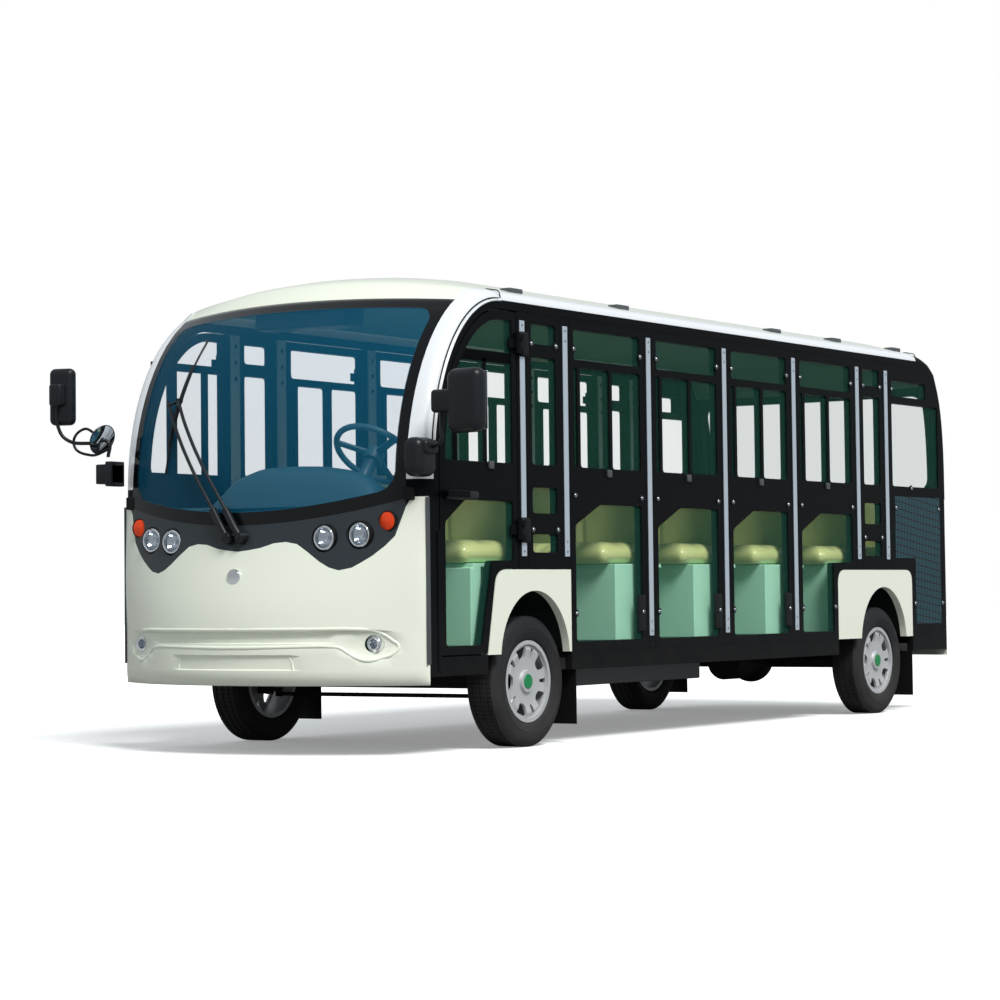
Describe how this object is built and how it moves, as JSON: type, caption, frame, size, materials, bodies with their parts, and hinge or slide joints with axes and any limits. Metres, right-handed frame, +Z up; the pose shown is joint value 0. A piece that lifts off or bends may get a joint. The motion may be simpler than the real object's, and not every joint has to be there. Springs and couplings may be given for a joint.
{
  "type": "enclosed electric sightseeing bus",
  "caption": "Closed electric sightseeing bus with a curved windscreen, glazed side bays, bench rows, rear-hung hinged doors, steered front wheels and a rounded cream shell.",
  "frame": {"origin": "on the ground under the middle of the bus", "axes": "+X forward, +Y to the left of the driver, +Z up"},
  "size_m": [5.76, 2.43, 2.21],
  "materials": {
    "cream_paint": "gloss",
    "dark_mask": "gloss",
    "black_steel": "satin",
    "silver_trim": "satin",
    "screen_glass": "clear",
    "side_glass": "clear",
    "lamp_glass": "clear",
    "amber_lens": "gloss",
    "red_lens": "gloss",
    "bright_trim": "polished",
    "silver_wheel": "satin",
    "tyre": "matte",
    "black_rubber": "matte",
    "cast_axle": "rough",
    "grey_steel": "satin",
    "floor_mat": "matte",
    "mint_panel": "satin",
    "seat_vinyl": "satin",
    "dash_plastic": "matte"
  },
  "bodies": {
    "bus_body": {"chassis_frame": "black_steel", "floor_deck": "floor_mat", "wheel_housings": "floor_mat", "battery_pack": "grey_steel", "front_axle": "cast_axle", "rear_axle": "cast_axle", "leaf_springs": "cast_axle", "front_cowl": "cream_paint", "cowl_mask": "dark_mask", "windshield": "screen_glass", "roof_shell": "cream_paint", "front_arches": "silver_trim", "roof_rails": "silver_trim", "rear_arches": "dark_mask", "side_headers": "black_steel", "side_pillars": "black_steel", "pillar_strips": "silver_trim", "arch_panels": "cream_paint", "side_sills": "black_steel", "fixed_panels": "black_steel", "fixed_glass": "side_glass", "door_hinges": "black_steel", "rear_shell": "cream_paint", "rear_window": "screen_glass", "head_lamps": "bright_trim", "front_lenses": "lamp_glass", "turn_lamps": "amber_lens", "tail_lamps": "red_lens", "mud_flaps": "black_rubber", "seat_boxes": "mint_panel", "seat_cushions": "seat_vinyl", "seat_backs": "seat_vinyl", "dashboard": "dash_plastic", "steering_column": "dash_plastic", "side_mirrors": "dash_plastic", "wipers": "dash_plastic"},
    "left_knuckle": {"left_knuckle": "cast_axle"},
    "right_knuckle": {"right_knuckle": "cast_axle"},
    "tie_rod": {"tie_rod": "grey_steel"},
    "steering_wheel": {"steering_wheel": "dash_plastic"},
    "wheel_fl": {"tyre_fl": "tyre", "rim_fl": "silver_wheel"},
    "wheel_fr": {"tyre_fr": "tyre", "rim_fr": "silver_wheel"},
    "wheel_rl": {"tyre_rl": "tyre", "rim_rl": "silver_wheel"},
    "wheel_rr": {"tyre_rr": "tyre", "rim_rr": "silver_wheel"},
    "driver_door": {"driver_door_frame": "black_steel", "driver_door_glass": "side_glass"},
    "codriver_door": {"codriver_door_frame": "black_steel", "codriver_door_glass": "side_glass"},
    "row_door_1": {"row_door_frame_1": "black_steel", "row_door_glass_1": "side_glass"},
    "row_door_2": {"row_door_frame_2": "black_steel", "row_door_glass_2": "side_glass"},
    "row_door_3": {"row_door_frame_3": "black_steel", "row_door_glass_3": "side_glass"},
    "row_door_4": {"row_door_frame_4": "black_steel", "row_door_glass_4": "side_glass"}
  },
  "joints": [
    {"name": "steer_left", "type": "hinge", "parent": "bus_body", "child": "left_knuckle", "pos_m": [1.72, 0.7, 0.3], "axis": [0, 0, 1], "range_deg": [-35, 35]},
    {"name": "steer_right", "type": "hinge", "parent": "bus_body", "child": "right_knuckle", "pos_m": [1.72, -0.7, 0.3], "axis": [0, 0, 1], "range_deg": [-35, 35]},
    {"name": "tie_rod_slide", "type": "slide", "parent": "bus_body", "child": "tie_rod", "axis": [0, 1, 0], "range_m": [-0.053, 0.053]},
    {"name": "steering_wheel_turn", "type": "hinge", "parent": "bus_body", "child": "steering_wheel", "pos_m": [2.35, 0.42, 1.335], "axis": [-0.6428, 0, 0.766], "range_deg": [-565, 565]},
    {"name": "wheel_fl_spin", "type": "hinge", "parent": "left_knuckle", "child": "wheel_fl", "pos_m": [1.72, 0.745, 0.3], "axis": [0, 1, 0], "continuous": true},
    {"name": "wheel_fr_spin", "type": "hinge", "parent": "right_knuckle", "child": "wheel_fr", "pos_m": [1.72, -0.745, 0.3], "axis": [0, 1, 0], "continuous": true},
    {"name": "wheel_rl_spin", "type": "hinge", "parent": "bus_body", "child": "wheel_rl", "pos_m": [-1.92, 0.745, 0.3], "axis": [0, 1, 0], "continuous": true},
    {"name": "wheel_rr_spin", "type": "hinge", "parent": "bus_body", "child": "wheel_rr", "pos_m": [-1.92, -0.745, 0.3], "axis": [0, 1, 0], "continuous": true},
    {"name": "driver_door_hinge", "type": "hinge", "parent": "bus_body", "child": "driver_door", "pos_m": [1.8705, 0.8765, 1], "axis": [0, 0, 1], "range_deg": [0, 80]},
    {"name": "codriver_door_hinge", "type": "hinge", "parent": "bus_body", "child": "codriver_door", "pos_m": [1.8705, -0.8765, 1], "axis": [0, 0, -1], "range_deg": [0, 80]},
    {"name": "row_door_1_hinge", "type": "hinge", "parent": "bus_body", "child": "row_door_1", "pos_m": [0.7375, -0.8765, 1], "axis": [0, 0, -1], "range_deg": [0, 80]},
    {"name": "row_door_2_hinge", "type": "hinge", "parent": "bus_body", "child": "row_door_2", "pos_m": [-0.028, -0.8765, 1], "axis": [0, 0, -1], "range_deg": [0, 80]},
    {"name": "row_door_3_hinge", "type": "hinge", "parent": "bus_body", "child": "row_door_3", "pos_m": [-0.7935, -0.8765, 1], "axis": [0, 0, -1], "range_deg": [0, 80]},
    {"name": "row_door_4_hinge", "type": "hinge", "parent": "bus_body", "child": "row_door_4", "pos_m": [-1.559, -0.8765, 1], "axis": [0, 0, -1], "range_deg": [0, 80]}
  ],
  "couplings": [
    {"joint": "steer_right", "follows": "steer_left", "ratio": 1},
    {"joint": "tie_rod_slide", "follows": "steer_left", "m_per_rad": -0.085},
    {"joint": "steering_wheel_turn", "follows": "steer_left", "ratio": 16}
  ]
}
